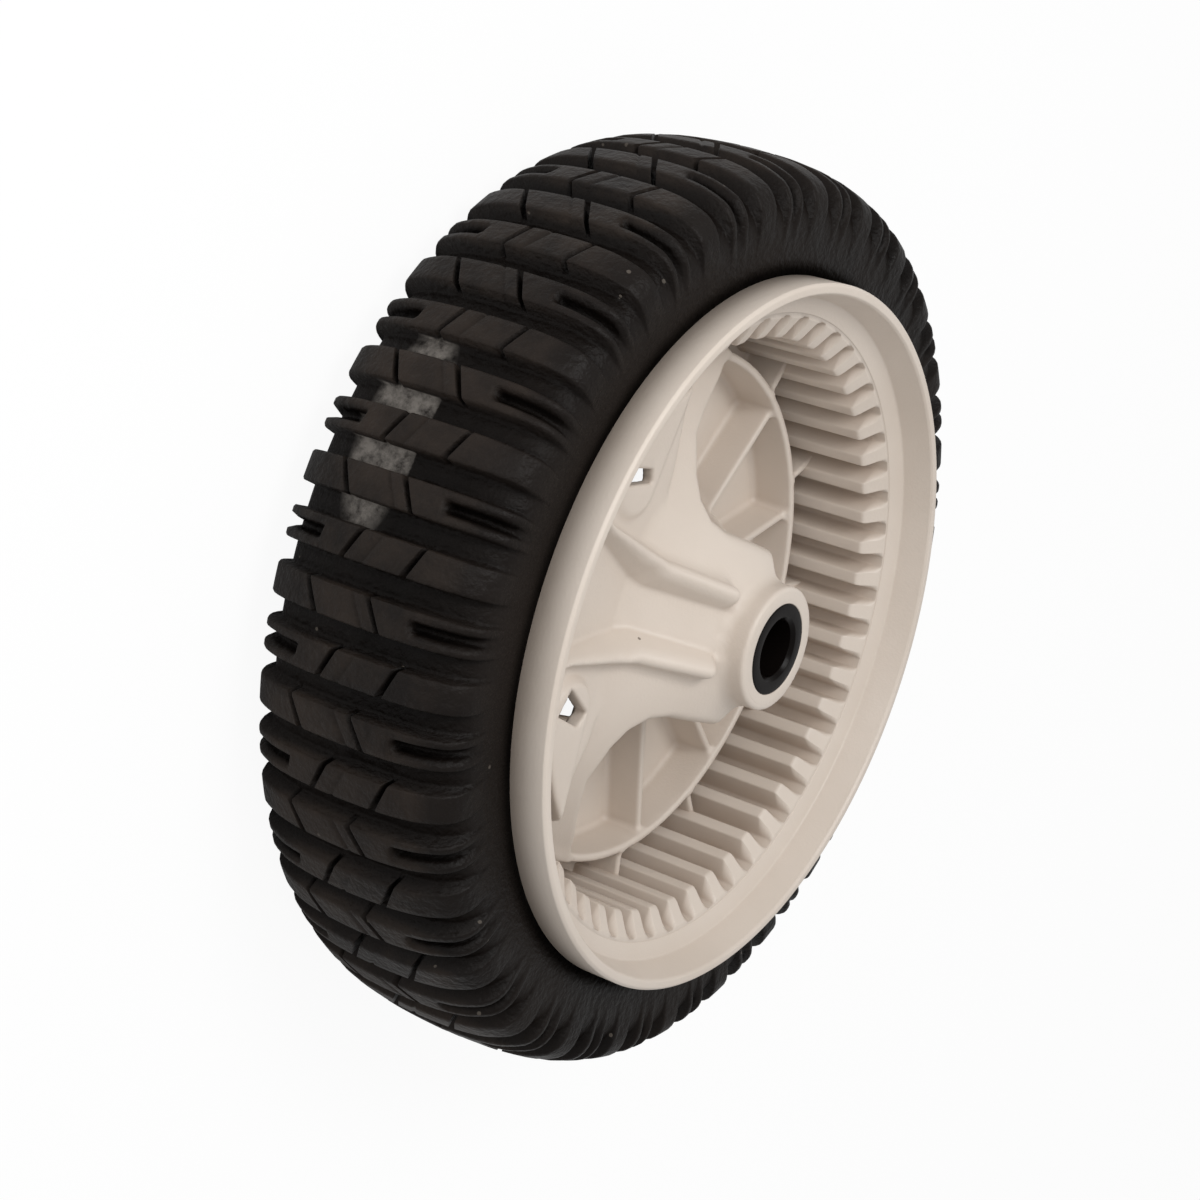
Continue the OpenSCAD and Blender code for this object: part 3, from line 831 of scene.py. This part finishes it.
def make_groove_highlight_group():
    inputs = [("Azimuth", -12.0), ("Spread", 13.0), ("Height", -0.009)]
    group, inn, out = new_group("groove_painted_highlight", inputs, ["Mask"])
    coords = group.nodes.new("ShaderNodeTexCoord").outputs["Object"]
    parts = group.nodes.new("ShaderNodeSeparateXYZ")
    group.links.new(coords, parts.inputs["Vector"])
    low = stretch(group, axle_distance(group, coords), 0.0988, 0.0982)
    turn = maths(group, "ARCTAN2", parts.outputs["Y"], parts.outputs["X"])
    azimuth = maths(group, "MULTIPLY", turn, math.degrees(1))
    along = maths(group, "SUBTRACT", azimuth, inn.outputs["Azimuth"])
    along = maths(group, "DIVIDE", along, inn.outputs["Spread"])
    across = maths(group, "SUBTRACT", parts.outputs["Z"], inn.outputs["Height"])
    across = maths(group, "DIVIDE", across, HIGHLIGHT_HALF_WIDTH)
    along, across = maths(group, "MULTIPLY", along, along), maths(group, "MULTIPLY", across, across)
    away = maths(group, "ADD", along, across)
    # Painted highlight: a patch on the groove floors near one azimuth, where the real rubber reflects a lamp.
    highlight_mask = maths(group, "MULTIPLY", low, stretch(group, away, 1.0, 0.55))
    seam = stretch(group, parts.outputs["Z"], 0.0004, 0.0001)
    group.links.new(maths(group, "MULTIPLY", highlight_mask, seam), out.inputs["Mask"])
    return group


groove_highlight_group = make_groove_highlight_group()
print("node groups:", [g.name for g in bpy.data.node_groups])


# %% Helpers for materials
def new_material(name):
    material = bpy.data.materials.new(name)
    material.use_nodes = True
    tree = material.node_tree
    return material, tree, tree.nodes["Principled BSDF"]


def use_group(tree, group, **values):
    node = tree.nodes.new("ShaderNodeGroup")
    node.node_tree = group
    for label, value in values.items():
        node.inputs[label].default_value = value
    return node


def mix_colour(tree, mask, under, over):
    node = tree.nodes.new("ShaderNodeMix")
    node.data_type = "RGBA"
    tree.links.new(mask, node.inputs["Factor"])
    for socket, value in ((node.inputs[6], under), (node.inputs[7], over)):
        if isinstance(value, tuple):
            socket.default_value = value + (1.0,)
        else:
            tree.links.new(value, socket)
    return node.outputs[2]


def add_bump(tree, shader, height_value, strength, distance):
    bump = tree.nodes.new("ShaderNodeBump")
    bump.inputs["Strength"].default_value = strength
    bump.inputs["Distance"].default_value = distance
    tree.links.new(height_value, bump.inputs["Height"])
    tree.links.new(bump.outputs["Normal"], shader.inputs["Normal"])


# %% [markdown]
# The same plastic is made twice. On the gear ring the painted corner shade reaches further out of the corners, so
# the gaps between the teeth come out darker and browner.

# %% Off-white moulded plastic
CLEAN_PLASTIC, AGED_PLASTIC = (0.64, 0.565, 0.495), (0.59, 0.515, 0.445)
BROWN_PAINTED_SHADE, DARK_SPECK = (0.34, 0.24, 0.17), (0.10, 0.07, 0.05)


def make_plastic(name, reach, unevenness):
    material, tree, shader = new_material(name)
    grain = use_group(tree, grain_group, Scale=1400.0, Waviness=2.0)
    corner_shade = use_group(tree, corner_shade_group, Reach=reach, Unevenness=unevenness)
    specks = use_group(tree, speck_group, Scale=95.0, Size=0.06)
    base = mix_colour(tree, grain.outputs["Patches"], CLEAN_PLASTIC, AGED_PLASTIC)
    # Painted shade: brown darkening is mixed in where the corner mask finds closed corners.
    base = mix_colour(tree, maths(tree, "MULTIPLY", corner_shade.outputs["Mask"], 0.40), base, BROWN_PAINTED_SHADE)
    base = mix_colour(tree, maths(tree, "MULTIPLY", specks.outputs["Mask"], 0.8), base, DARK_SPECK)
    tree.links.new(base, shader.inputs["Base Color"])
    rough = stretch(tree, grain.outputs["Patches"], 0.0, 1.0, 0.36, 0.5)
    tree.links.new(rough, shader.inputs["Roughness"])
    shader.inputs["Specular IOR Level"].default_value = 0.45
    add_bump(tree, shader, grain.outputs["Height"], 0.12, 0.0004)
    return material


plastic = make_plastic("off_white_plastic", 0.003, 0.6)
gear_plastic = make_plastic("off_white_plastic_gear", 0.006, 0.35)


# %% [markdown]
# Black rubber is never plain black. The tops of the lugs are worn to a brown grey, the grooves and lug walls get
# painted shade, and a few groove floors get a painted highlight. The gloss is lower where the painted shade mask is
# strong.

# %% Black rubber
FRESH_RUBBER, DULL_RUBBER, PAINTED_GROOVE_SHADE = (0.0040, 0.0026, 0.0020), (0.0095, 0.0065, 0.0050), (0.0008, 0.0006, 0.0005)
PALE_SPECK, WORN_RUBBER, PAINTED_GROOVE_HIGHLIGHT = (0.14, 0.12, 0.10), (0.025, 0.0175, 0.0130), (0.22, 0.20, 0.18)


def make_rubber():
    material, tree, shader = new_material("black_rubber")
    grain = use_group(tree, grain_group, Scale=700.0, Waviness=1.2)
    corner_shade = use_group(tree, corner_shade_group, Reach=0.005, Unevenness=0.3)
    specks = use_group(tree, speck_group, Scale=220.0, Size=0.10)
    base = mix_colour(tree, grain.outputs["Patches"], FRESH_RUBBER, DULL_RUBBER)
    # Painted shade: the grooves and lug walls are darkened to near black where the corner mask is closed.
    base = mix_colour(tree, corner_shade.outputs["Mask"], base, PAINTED_GROOVE_SHADE)
    base = mix_colour(tree, maths(tree, "MULTIPLY", specks.outputs["Mask"], 0.5), base, PALE_SPECK)
    worn = use_group(tree, crown_group, Radius=CROWN_R)
    clear = maths(tree, "SUBTRACT", 1.0, corner_shade.outputs["Mask"])
    worn = maths(tree, "MULTIPLY", worn.outputs["Mask"], clear)
    base = mix_colour(tree, maths(tree, "MULTIPLY", worn, 0.9), base, WORN_RUBBER)
    mottle = noise(tree, tree.nodes.new("ShaderNodeTexCoord").outputs["Object"], 330.0, 6.0, 0.7)
    # Painted highlight: pale mottled patches on a few groove floors.
    highlight_mask = use_group(tree, groove_highlight_group, Azimuth=-12.0, Spread=14.0, Height=-0.007)
    highlight_mask = maths(tree, "MULTIPLY", highlight_mask.outputs["Mask"], stretch(tree, mottle, 0.3, 0.62))
    base = mix_colour(tree, maths(tree, "MULTIPLY", highlight_mask, 0.85), base, PAINTED_GROOVE_HIGHLIGHT)
    tree.links.new(base, shader.inputs["Base Color"])
    rough = stretch(tree, grain.outputs["Patches"], 0.0, 1.0, 0.42, 0.58)
    tree.links.new(rough, shader.inputs["Roughness"])
    tree.links.new(stretch(tree, clear, 0.0, 1.0, 0.01, 0.14), shader.inputs["Specular IOR Level"])
    add_bump(tree, shader, grain.outputs["Height"], 0.5, 0.0008)
    return material


rubber = make_rubber()


# %% Black bushing plastic
BUSHING_BLACK, BUSHING_AGED, BUSHING_CORNER_BROWN = (0.003, 0.0022, 0.002), (0.005, 0.0035, 0.003), (0.02, 0.011, 0.006)


def make_bushing_plastic():
    material, tree, shader = new_material("black_bushing_plastic")
    grain = use_group(tree, grain_group, Scale=1800.0, Waviness=0.6)
    corner_shade = use_group(tree, corner_shade_group, Reach=0.004, Unevenness=0.5)
    base = mix_colour(tree, grain.outputs["Patches"], BUSHING_BLACK, BUSHING_AGED)
    # A brown tint is mixed into the bore and the corners where the corner shade mask is strong.
    base = mix_colour(tree, maths(tree, "MULTIPLY", corner_shade.outputs["Mask"], 0.3), base, BUSHING_CORNER_BROWN)
    tree.links.new(base, shader.inputs["Base Color"])
    tree.links.new(stretch(tree, grain.outputs["Patches"], 0.0, 1.0, 0.2, 0.32), shader.inputs["Roughness"])
    shader.inputs["Specular IOR Level"].default_value = 0.08
    add_bump(tree, shader, grain.outputs["Height"], 0.08, 0.0003)
    return material


bushing_finish = make_bushing_plastic()

# %% Put the finishes on the pieces and on the solids under them
finishes = {rim: gear_plastic, web: plastic, collar: plastic, tyre: rubber, bushing: bushing_finish}
for piece, finish in finishes.items():
    piece.data.materials.append(finish)
for node, finish in (("wheel_body", plastic), ("tyre", rubber), ("bushing", bushing_finish)):
    for material_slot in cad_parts[node].material_slots:
        material_slot.material = finish
print("finishes:", plastic.name, rubber.name, bushing_finish.name)

# %% [markdown]
# ## Floor, light and camera
# The wheel lies on its back lip on a pale floor. The light is soft and plain: a large key lamp above the geared
# side, a weaker lamp close to the camera that opens the shadows, and an even pale sky. The camera stands where
# the photograph was taken from, and it is rolled about its own axis, so the wheel seems to stand on its tread.
# The floor and the sky glow for the camera alone, which gives a white background and keeps the soft shadow.

# %% Pale floor
FLOOR_HALF = 6
CAMERA_GLOW = 0.93
floor_corners = [(x * FLOOR_HALF, y * FLOOR_HALF, 0) for x, y in ((-1, -1), (1, -1), (1, 1), (-1, 1))]
floor_mesh = bpy.data.meshes.new("floor")
floor_mesh.from_pydata(floor_corners, [], [(0, 1, 2, 3)])
floor = bpy.data.objects.new("floor", floor_mesh)
floor.location = (0, 0, BACK_Z * METRES - 0.0002)
bpy.context.scene.collection.objects.link(floor)
floor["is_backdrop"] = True


def make_floor_finish():
    material, tree, shader = new_material("pale_floor")
    shader.inputs["Base Color"].default_value = (0.9, 0.9, 0.9, 1)
    shader.inputs["Roughness"].default_value = 0.9
    shader.inputs["Specular IOR Level"].default_value = 0.1
    path = tree.nodes.new("ShaderNodeLightPath")
    glow = tree.nodes.new("ShaderNodeEmission")
    glow.inputs["Color"].default_value = (1, 1, 1, 1)
    glow.inputs["Strength"].default_value = 1.0
    seen = maths(tree, "MULTIPLY", path.outputs["Is Camera Ray"], CAMERA_GLOW)
    mix = tree.nodes.new("ShaderNodeMixShader")
    tree.links.new(seen, mix.inputs["Fac"])
    tree.links.new(shader.outputs["BSDF"], mix.inputs[1])
    tree.links.new(glow.outputs["Emission"], mix.inputs[2])
    tree.links.new(mix.outputs["Shader"], tree.nodes["Material Output"].inputs["Surface"])
    return material


floor_mesh.materials.append(make_floor_finish())

# %% Camera of the photograph
CAMERA_AT = Vector((0.497295, -0.015291, 0.282091))
RIGHT = Vector((-0.489, -0.301, 0.819)).normalized()
FORWARD = Vector((-0.863, 0.030, -0.504))
FORWARD = (FORWARD - RIGHT * FORWARD.dot(RIGHT)).normalized()
UP = RIGHT.cross(FORWARD)
camera_data = bpy.data.cameras.new("camera")
camera_data.sensor_fit = "HORIZONTAL"
camera_data.sensor_width = 36.0
camera_data.lens = 78.0
camera_data.clip_start = 0.01
camera = bpy.data.objects.new("camera", camera_data)
bpy.context.scene.collection.objects.link(camera)
turned = Matrix((RIGHT, UP, -FORWARD)).transposed().to_4x4()
camera.matrix_world = Matrix.Translation(CAMERA_AT) @ turned
bpy.context.scene.camera = camera
print("camera looks down by", round(math.degrees(math.asin(-FORWARD.z)), 1), "degrees")


# %% Lamps and sky
def add_lamp(name, place, aim, size, power):
    lamp = bpy.data.lights.new(name, "AREA")
    lamp.shape, lamp.size, lamp.energy = "DISK", size, power
    holder = bpy.data.objects.new(name, lamp)
    holder.location = place
    holder.rotation_euler = (Vector(aim) - Vector(place)).to_track_quat("-Z", "Y").to_euler()
    bpy.context.scene.collection.objects.link(holder)
    return holder


SKY_LIGHT = 0.56
add_lamp("key_lamp", (0.24, -0.34, 0.60), (0, 0, 0), 0.35, 2.3)
add_lamp("front_lamp", CAMERA_AT * 1.15 + UP * 0.10, (0, 0, 0), 0.5, 1.1)
sky = bpy.data.worlds.new("sky")
bpy.context.scene.world = sky
sky.use_nodes = True
sky.node_tree.nodes["Background"].inputs["Color"].default_value = (1, 1, 1, 1)
seen = sky.node_tree.nodes.new("ShaderNodeLightPath").outputs["Is Camera Ray"]
strength = stretch(sky.node_tree, seen, 0.0, 1.0, SKY_LIGHT, CAMERA_GLOW)
sky.node_tree.links.new(strength, sky.node_tree.nodes["Background"].inputs["Strength"])
bpy.context.scene.view_settings.view_transform = "Standard"

# %% Measure both boxes and finish
seen_box = [list(corner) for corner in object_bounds()]
grown = (np.array(seen_box) - np.array(cad_box)) / METRES
print("grown by mm:", grown.round(2).tolist())
